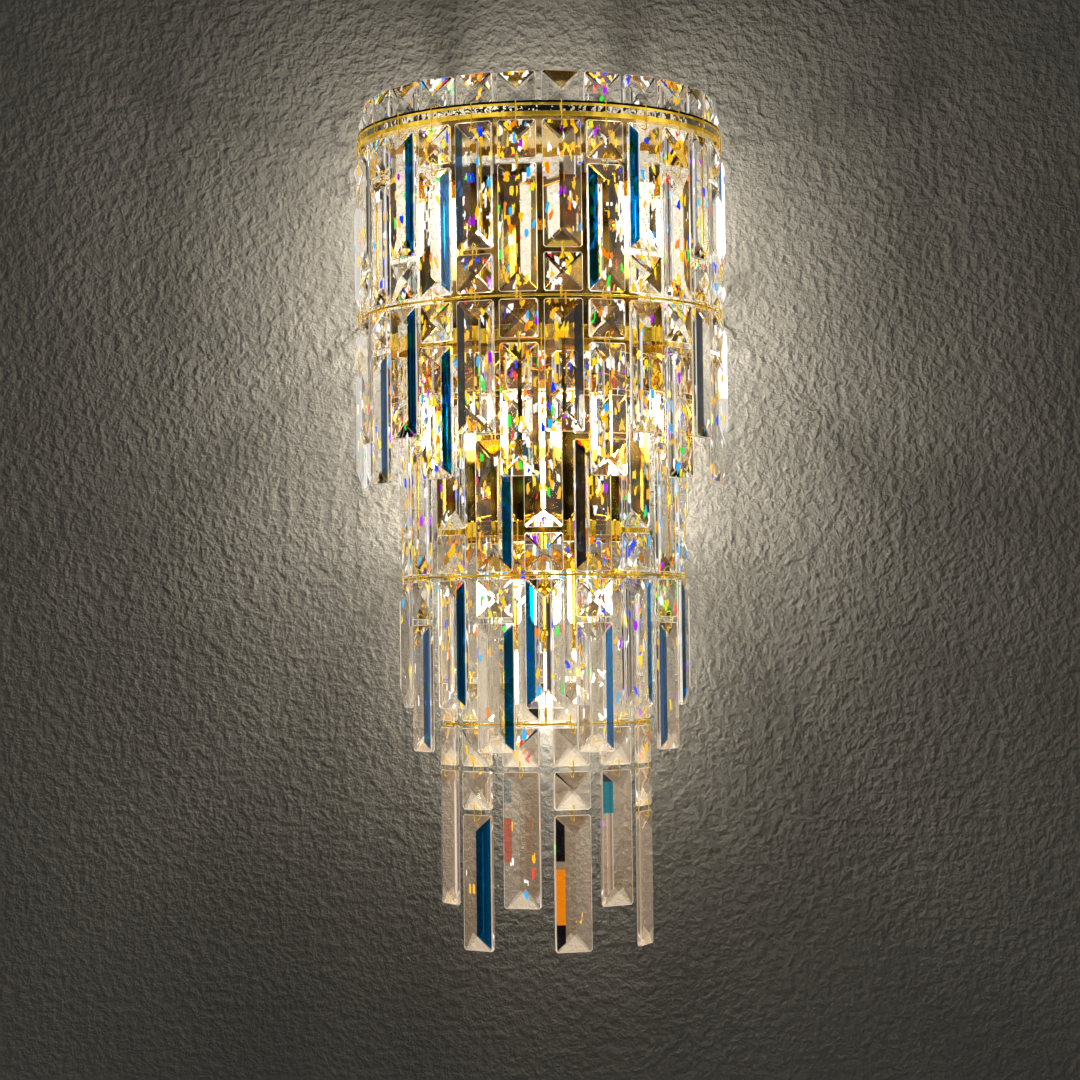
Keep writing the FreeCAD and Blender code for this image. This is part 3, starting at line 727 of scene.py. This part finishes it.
# ---- crown: standing squares in the top tray, each with its hook
crown = {"radius": 142.3, "lift": 0.9, "lean": 2.0, "bandHeight": 12.0, "plateRise": 4.0, "sheet": 1.2,
         "bandOutside": 3.5, "tailInCrown": 1.2, "tail": 0.8, "hookDrop": 4.0}
topTier = tiers[0]
wireOff = linkSizes["radius"] + linkSizes["gap"]
hookTop = topTier["bandFoot"] + crown["bandHeight"] + wireOff
crownFoot = topTier["bandFoot"] + crown["plateRise"] + crown["sheet"] + crown["lift"]
crownRows, crownHooks = [], []
for k, theta in enumerate(strandAngles(topTier)):
    place = strandPlace(crown["radius"], theta)
    lean = Matrix.Rotation(math.radians(crown["lean"] * wave("lean", k)), 4, "Y")
    raised = Matrix.Translation((0, 0, crownFoot + cutSizes["width"] - hookTop))
    standing = place @ Matrix.Translation((0, 0, hookTop)) @ lean @ raised
    crownRows.append((standing, cutNumber(cutSizes["width"], accent=accents["crown"][k % 4])))
    leg = topTier["radius"] + crown["bandOutside"] + wireOff
    hole = upperTop(topTier) - cutSizes["hole"]
    path = ((0, -crown["radius"] + linkSizes["reach"] + crown["tailInCrown"], hookTop), (0, -leg, hookTop),
            (0, -leg, hole), (0, -topTier["radius"] + linkSizes["reach"] + crown["tail"], hole))
    crownHooks.append(inMetres(path, strandPlace(0.0, theta)))
crystalPieces("crown_glass", crownRows, "frame", ["crown_crystals"])
wires("crown_wire", crownHooks, linkSizes["radius"], linkSizes["hookBend"], "frame", ["crown_hooks"])

for tier in tiers[1:]:
    leg = tier["radius"] + crown["bandOutside"] + wireOff
    behind = leg - crown["sheet"] - 2 * wireOff
    over = tier["bandFoot"] + crown["bandHeight"] + wireOff
    hole = upperTop(tier) - cutSizes["hole"]
    path = ((0, -behind, over - crown["hookDrop"]), (0, -behind, over), (0, -leg, over), (0, -leg, hole),
            (0, -tier["radius"] + linkSizes["reach"] + crown["tail"], hole))
    hooks = [inMetres(path, strandPlace(0.0, theta)) for theta in strandAngles(tier)]
    wires(tier["name"] + "_hook_wire", hooks, linkSizes["radius"], linkSizes["hookBend"], "frame",
          [tier["name"] + "_hooks"])
print("crown and hooks laid out")


# ---- rings: a rod bent to a U, and the hangers that carry it
for tier in tiers:
    r, z, back = tier["radius"], tier["ringHeight"], ringSizes["back"]
    arc = [(*inPlan(r, a), z) for a in range(-90, 91, 3)]
    wires(tier["name"] + "_ring_rod", [inMetres([(-r, back, z)] + arc + [(r, back, z)])], ringSizes["radius"], 0.0,
          "frame", [tier["name"] + "_ring"], sides=16, polished=True)
    inner, top = r - ringSizes["hangerIn"], tier["bandFoot"] + crown["plateRise"]
    hangers = [inMetres(((0, -inner, top), (0, -inner, z), (0, -r, z)), strandPlace(0.0, theta))
               for theta in tier["hangers"]]
    wires(tier["name"] + "_ring_hangers", hangers, ringSizes["hangerRadius"], ringSizes["hangerBend"], "frame",
          [tier["name"] + "_ring"], steps=6, sides=12, polished=True)


# ---- trays: an upright band with rounded edges round a flat plate
trayBacks = {"top_tier": 2.7, "middle_tier": 0.5, "bottom_tier": 0.5}
notchSizes = {"halfWidth": 80.3, "front": 12.3}
bandEdge = {"round": 0.45, "steps": 3, "grooveLow": 3.4, "grooveHigh": 8.4, "grooveSlope": 0.2, "groove": 0.35,
            "shadeFrom": 10.1, "plateIn": 0.2, "faceReach": 0.15}


def trayOutline(tier, notched):
    # the band's outer face, anticlockwise from above
    r, back = tier["radius"] + crown["bandOutside"], trayBacks[tier["name"]]
    line = [inPlan(r, a) for a in range(-90, 91, 2)] + [(r, -back)]
    if notched:
        n, front = notchSizes["halfWidth"], notchSizes["front"]
        line += [(n, -back), (n, -front), (-n, -front), (-n, -back)]
    return line + [(-r, -back)]


def insetLine(line, distance):
    # each corner moves square to both of its sides
    result = []
    for i, here in enumerate(line):
        before, after = Vector(line[i - 1]), Vector(line[(i + 1) % len(line)])
        here = Vector(here)
        a, b = (here - before).normalized(), (after - here).normalized()
        one, two = Vector((-a.y, a.x)), Vector((-b.y, b.x))
        result.append(here + (one + two) * (distance / (1 + one.dot(two))))
    return result


def distanceIn(line, point):
    # how far a point lies from the outline
    best, point = 1e9, Vector(point)
    for i, here in enumerate(line):
        before, here = Vector(line[i - 1]), Vector(here)
        along = here - before
        share = min(1.0, max(0.0, (point - before).dot(along) / max(along.length_squared, 1e-9)))
        best = min(best, (before + along * share - point).length)
    return best


def trayPiece(tier, notched):
    outline = trayOutline(tier, notched)
    foot, height, sheet, edge = tier["bandFoot"], crown["bandHeight"], crown["sheet"], bandEdge["round"]
    section = []
    for cx, cz, start in ((edge, height - edge, 180), (sheet - edge, height - edge, 90), (sheet - edge, edge, 0),
                          (edge, edge, -90)):
        for i in range(bandEdge["steps"] + 1):
            a = math.radians(start - 90 * i / bandEdge["steps"])
            section.append((cx + edge * math.cos(a), cz + edge * math.sin(a)))
    low, high, groove, slope = (bandEdge[key] for key in ("grooveLow", "grooveHigh", "groove", "grooveSlope"))
    section += [(0.0, low), (groove, low + slope), (groove, high - slope), (0.0, high), (0.0, bandEdge["shadeFrom"])]
    points, faces, n = [], [], len(outline)
    for inset, z in section:
        points += [(p.x * mm, p.y * mm, (foot + z) * mm) for p in insetLine(outline, inset)]
    for j in range(len(section)):
        k = (j + 1) % len(section)
        for i in range(n):
            m = (i + 1) % n
            faces.append((j * n + i, j * n + m, k * n + m, k * n + i))
    plate = [(p.x * mm, p.y * mm) for p in insetLine(outline, sheet - bandEdge["plateIn"])]
    for rise in (crown["plateRise"], crown["plateRise"] + sheet):
        faces.append(tuple(range(len(points), len(points) + n)))
        points += [(x, y, (foot + rise) * mm) for x, y in plate]
    low, high = len(points) - 2 * n, len(points) - n
    faces += [(low + i, low + (i + 1) % n, high + (i + 1) % n, high + i) for i in range(n)]
    piece = meshObject(tier["name"] + "_tray_band", points, (), faces)
    clean = bmesh.new()
    clean.from_mesh(piece.data)
    turnedOut(clean)
    bmesh.ops.triangulate(clean, faces=[f for f in clean.faces if len(f.verts) > 4])
    clean.to_mesh(piece.data)
    clean.free()
    for finishMaterial in (polishedGold, bandGold, bandMirror, bandShade) if tier is topTier else (polishedGold,):
        piece.data.materials.append(finishMaterial)
    for f in piece.data.polygons:
        z = f.center.z / mm - foot
        inside = distanceIn(outline, (f.center.x / mm, f.center.y / mm)) > groove + bandEdge["faceReach"]
        if tier is not topTier or inside:
            continue
        # the top of the band's outside is painted near black for shade, the groove is mirror gold, the rest satin gold
        if z > bandEdge["shadeFrom"]:
            f.material_index = 3
        elif bandEdge["grooveLow"] < z < bandEdge["grooveHigh"]:
            f.material_index = 2
        else:
            f.material_index = 1
    waiting.append((piece, "frame", [tier["name"] + "_tray"], "polished_gold"))
    return piece


for tier in tiers:
    tray = trayPiece(tier, tier is not topTier)
    # the wall above the lamp is lit, so the bulbs' light gets past the top tray
    tray.visible_shadow = tier is not topTier
print("rings and trays made")


# ---- lamps: x, y, height of the arm, height of the cup's top
lampPlaces = [(-74, -78, 148, 139), (74, -78, 148, 139), (-60, -74, -8, -17), (0, -92, -8, -17), (60, -74, -8, -17),
              (0, -62, -60, -69), (-26, -54, -131, -158), (26, -54, -131, -158), (0, -40, -131, -222)]
armSizes = {"radius": 3.0, "bend": 8.0, "start": -12.0}
cupProfile = {"round": 48, "line": [
    (1.6, 0.0), (4.4, 0.0), (5.0, -0.3), (6.2, -0.9), (7.6, -2.1), (9.2, -3.9), (10.4, -6.0), (11.3, -8.6),
    (11.9, -11.0), (12.2, -13.6), (12.5, -15.6), (12.9, -16.0), (13.0, -16.5), (12.9, -16.9), (12.5, -17.0),
    (12.1, -16.8), (11.5, -14.0), (11.0, -11.4), (10.4, -8.8), (9.4, -6.6), (8.2, -4.6), (6.9, -3.0), (5.0, -2.5),
    (1.6, -2.4)]}
holderProfile = {"round": 40, "drop": 4.0, "line": [
    (1.6, 0.0), (5.8, 0.0), (7.3, -0.9), (8.2, -2.4), (8.5, -3.6), (8.5, -5.2), (7.9, -5.6), (7.9, -6.4),
    (8.5, -6.8), (8.5, -8.6), (7.9, -9.0), (7.9, -9.8), (8.5, -10.2), (8.5, -12.0), (7.9, -12.4), (7.9, -13.2),
    (8.4, -13.6), (8.3, -14.8), (8.0, -15.0), (4.9, -15.0), (4.6, -14.7), (4.6, -7.0), (1.6, -7.0)]}
bulbSizes = {"radius": 6.8, "length": 42.0, "wall": 0.8, "round": 40, "neckDrop": 19.8}
glowSizes = {"radius": 2.4, "length": 27.0, "start": 6.0, "end": 1.4, "round": 20, "ribs": 9, "waist": 2.0}


def turnedShape(name, line, around, closed=True):
    # turns a profile of (radius, height) about Z; a radius of 0 is a pole
    shape = bmesh.new()
    rings = []
    for r, z in line:
        turns = [2 * math.pi * i / around for i in range(around if r > 0 else 1)]
        rings.append([shape.verts.new((r * mm * math.cos(a), r * mm * math.sin(a), z * mm)) for a in turns])
    pairs = list(zip(rings, rings[1:])) + ([(rings[-1], rings[0])] if closed else [])
    for one, two in pairs:
        for i in range(around):
            k = (i + 1) % around
            if len(one) == 1 and len(two) == 1:
                break
            if len(one) == 1:
                shape.faces.new((one[0], two[i], two[k]))
            elif len(two) == 1:
                shape.faces.new((one[i], one[k], two[0]))
            else:
                shape.faces.new((one[i], one[k], two[k], two[i]))
    turnedOut(shape)
    for f in shape.faces:
        f.smooth = True
    mesh = bpy.data.meshes.new(name)
    shape.to_mesh(mesh)
    shape.free()
    return bpy.data.objects.new(name, mesh)


def copies(name, part, places, finishMaterial, replaced, slot):
    piece = meshObject(name, inMetres(places))
    grow(piece, copiesTree, {"Part": part, "Finish": finishMaterial})
    waiting.append((piece, "frame", replaced, slot))
    return piece


armPaths = [inMetres(((x, armSizes["start"], arm), (x, y, arm), (x, y, cup))) for x, y, arm, cup in lampPlaces]
wires("lamp_arm_tubes", armPaths, armSizes["radius"], armSizes["bend"], "frame", ["lamp_arms"], steps=8, sides=20,
      polished=True)
cups = copies("lamp_cup_bells", turnedShape("cup", cupProfile["line"], cupProfile["round"]),
              [(x, y, cup) for x, y, arm, cup in lampPlaces], polishedGold, ["lamp_cups"], "polished_gold")
holders = copies("lampholder_rings", turnedShape("holder", holderProfile["line"], holderProfile["round"]),
                 [(x, y, cup - holderProfile["drop"]) for x, y, arm, cup in lampPlaces], holderCeramic,
                 ["lampholders"], "holder_ceramic")
# light leaves the bulbs upwards too, past the cups' rims
cups.visible_shadow = False
holders.visible_shadow = False


def dome(radius, angles):
    # the round end of a bulb, in profile
    middle = bulbSizes["radius"] - bulbSizes["length"]
    return [(radius * math.cos(math.radians(a)), middle - radius * math.sin(math.radians(a))) for a in angles]


r, inner, n = bulbSizes["radius"], bulbSizes["radius"] - bulbSizes["wall"], bulbSizes["length"]
bulbLine = ([(inner, 0.0), (r, 0.0)] + dome(r, range(0, 90, 10)) + [(0.0, -n), (0.0, -n + bulbSizes["wall"])]
            + dome(inner, range(80, -1, -10)))
bulbPlaces = [(x, y, cup - bulbSizes["neckDrop"]) for x, y, arm, cup in lampPlaces]
copies("bulb_capsules", turnedShape("capsule", bulbLine, bulbSizes["round"]), bulbPlaces, bulbGlass,
       ["bulb_glasses"], "bulb_glass")

glowLine = [(0.0, 0.0), (1.2, -0.3), (1.9, -0.9)]
pitch = (glowSizes["length"] - 2 * glowSizes["end"]) / glowSizes["ribs"]
for i in range(glowSizes["ribs"]):
    high = -glowSizes["end"] - i * pitch
    glowLine += [(glowSizes["radius"], high - 0.25 * pitch), (glowSizes["radius"], high - 0.65 * pitch),
                 (glowSizes["waist"], high - pitch)]
glowLine += [(1.2, -glowSizes["length"] + 0.3), (0.0, -glowSizes["length"])]
copies("bulb_glow_cores", turnedShape("glow", glowLine, glowSizes["round"], closed=False),
       [(x, y, z - glowSizes["start"]) for x, y, z in bulbPlaces], lampGlow, ["bulb_emitters"], "lamp_glow")
print("lamps made")


# ---- everything that was grown becomes a plain mesh and rides on its body
bpy.context.view_layer.update()
depsgraph = bpy.context.evaluated_depsgraph_get()
flats = [bpy.data.meshes.new_from_object(piece.evaluated_get(depsgraph), preserve_all_data_layers=True,
                                         depsgraph=depsgraph) if piece.modifiers else None for piece, *rest in waiting]
for (piece, body, replaced, slot), flat in zip(waiting, flats):
    if piece.modifiers:
        piece.modifiers.clear()
        piece.data = flat
        flat.name = piece.name
    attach(piece, body)
    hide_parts(*replaced)
    if slot in ("crystal", "bulb_glass"):
        piece.visible_shadow = False
triangles = sum(len(f.vertices) - 2 for piece, *rest in waiting for f in piece.data.polygons)
print("pieces ride:", len(waiting), "triangles:", triangles)


# ---- CAD nodes that stay get their finish
carried = {"wall_bracket": zincSteel, "bracket_studs": zincSteel, "back_plate": mirrorGold, "cap_nuts": polishedGold,
           "tray_screws": polishedGold, "cable_grommet": grommetRubber, "terminal_block": blockPlastic,
           "lamp_leads": sleeve, "wiring_harness": sleeve, "bulb_bases": bulbBase}
for name, finishMaterial in carried.items():
    data = nodes[name].data
    if not data.materials:
        data.materials.append(finishMaterial)
    for i in range(len(data.materials)):
        data.materials[i] = finishMaterial


# ---- room: a plastered wall behind, a pale floor, soft lights
room = {"wallColour": (0.145, 0.142, 0.127), "wallDark": (0.11, 0.107, 0.096), "wallGap": 0.0005, "wallTop": 2.2,
        "wallHalf": 3.0, "lumps": 130.0, "lumpDepth": 0.0013, "closeGap": 0.02,
        "floorColour": (0.74, 0.73, 0.70), "floorDark": (0.70, 0.69, 0.66), "floorHeight": -1.25, "floorLift": 0.55,
        "worldColour": (1.0, 0.99, 0.97), "worldLevel": 0.035, "worldBack": 0.85,
        "cardColour": (0.012, 0.010, 0.012), "cardPale": (0.020, 0.018, 0.020)}


def ray(start, kind):
    return start.node("LightPath", output=kind)


def rayFactor(start):
    # 1 for the rays that see the backdrop, 0 for those that light the room
    lens = start.maths("MAXIMUM", ray(start, "Is Glossy Ray"), ray(start, "Is Transmission Ray"))
    return start.maths("MAXIMUM", ray(start, "Is Camera Ray"), lens)


def wallMaterial():
    material, start = newMaterial("plaster")
    place = objectPlace(start)
    lumps = noise(start, place, room["lumps"], 3.0, 0.6).step(0.30, 0.75)
    cloud = noise(start, place, 3.0, 3.0)
    tone = mixColour(start, cloud.step(0.3, 0.7), room["wallColour"], room["wallDark"])
    shader = start.node("BsdfPrincipled", None, {
        "Base Color": tone, "Roughness": 0.85, "Normal": bump(start, lumps, room["lumpDepth"])})
    unseen = start.maths("MAXIMUM", start.node("NewGeometry", output="Backfacing"), ray(start, "Is Shadow Ray"))
    # from behind, the metal that lies against the wall shows the room instead of it
    close = start.maths("LESS_THAN", ray(start, "Ray Length"), room["closeGap"])
    unseen = start.maths("MAXIMUM", unseen, close * ray(start, "Is Glossy Ray"))
    finish(start, start.node("MixShader", None, {0: unseen, 1: shader, 2: start.node("BsdfTransparent")}))
    return material


def floorMaterial():
    material, start = newMaterial("paleFloor")
    tone = mixColour(start, noise(start, objectPlace(start), 2.0), room["floorColour"], room["floorDark"])
    return principled(material, start, {
        "Base Color": tone, "Roughness": 0.7, "Emission Color": mixColour(start, rayFactor(start), black, tone),
        "Emission Strength": room["floorLift"]}, isLamp=True)


def cardMaterial():
    material, start = newMaterial("darkCard")
    tone = mixColour(start, noise(start, objectPlace(start), 4.0), room["cardColour"], room["cardPale"])
    return principled(material, start, {"Base Color": tone, "Roughness": 0.9})


def sheet(name, corners, finishMaterial):
    made = meshObject(name, corners, (), [(0, 1, 2, 3)])
    made.data.materials.append(finishMaterial)
    return made


w, gap, low, high = room["wallHalf"], room["wallGap"], room["floorHeight"], room["wallTop"]
wall = sheet("wall", [(-w, gap, low), (w, gap, low), (w, gap, high), (-w, gap, high)], wallMaterial())
floor = sheet("floor", [(-6, -7, low), (6, -7, low), (6, 5, low), (-6, 5, low)], floorMaterial())
# a dark card behind the camera, which only the metal and the glass show
card = sheet("card", [(-7, -3.6, 5.0), (7, -3.6, 5.0), (7, -3.6, -1.24), (-7, -3.6, -1.24)], cardMaterial())
card.visible_camera = False
card.visible_diffuse = False
card.visible_shadow = False
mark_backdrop(wall, floor, card)

world = bpy.data.worlds.new("room")
bpy.context.scene.world = world
world.use_nodes = True
world.node_tree.nodes.clear()
start = Shade(world.node_tree)
level = room["worldLevel"] + rayFactor(start) * (room["worldBack"] - room["worldLevel"])
light = start.node("Background", None, {"Color": opaque(room["worldColour"]), "Strength": level})
start.node("OutputWorld", None, {"Surface": light}, None)


def addLight(name, kind, place, watts, colour):
    data = bpy.data.lights.new(name, kind)
    data.energy = watts
    data.color = colour
    made = bpy.data.objects.new(name, data)
    made.location = place
    bpy.context.scene.collection.objects.link(made)
    return made


softLights = {"colour": (1.0, 0.98, 0.95), "target": (0, 0, -0.1), "lights": [
    ("keyLight", (-1.3, -1.9, 0.9), (0.9, 1.2), 4.5), ("fillLight", (1.6, -1.7, 0.1), (0.9, 1.4), 2.5),
    ("backLight", (0.4, 1.6, 0.6), (1.0, 1.0), 4.0)]}
for name, place, size, watts in softLights["lights"]:
    made = addLight(name, "AREA", place, watts, softLights["colour"])
    made.data.shape = "RECTANGLE"
    made.data.size, made.data.size_y = size
    made.rotation_mode = "QUATERNION"
    made.rotation_quaternion = (Vector(softLights["target"]) - Vector(place)).to_track_quat("-Z", "Y")

# bulbs near the wall are weaker, so that its plaster doesn't clip
lampPower = {"watts": 3.5, "colour": (1.0, 0.92, 0.81), "size": 0.006, "topBoost": 1.45, "fullAt": 78.0}
for i, (x, y, z) in enumerate(bulbPlaces):
    watts = lampPower["watts"] * (-y / lampPower["fullAt"]) * (lampPower["topBoost"] if z > 0 else 1.0)
    middle = Vector((x, y, z - glowSizes["start"] - glowSizes["length"] / 2)) * mm
    made = addLight("bulb%d" % i, "POINT", middle, watts, lampPower["colour"])
    made.data.shadow_soft_size = lampPower["size"]
    made.visible_glossy = False
    made.visible_transmission = False
print("room and lights ready")

low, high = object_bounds()
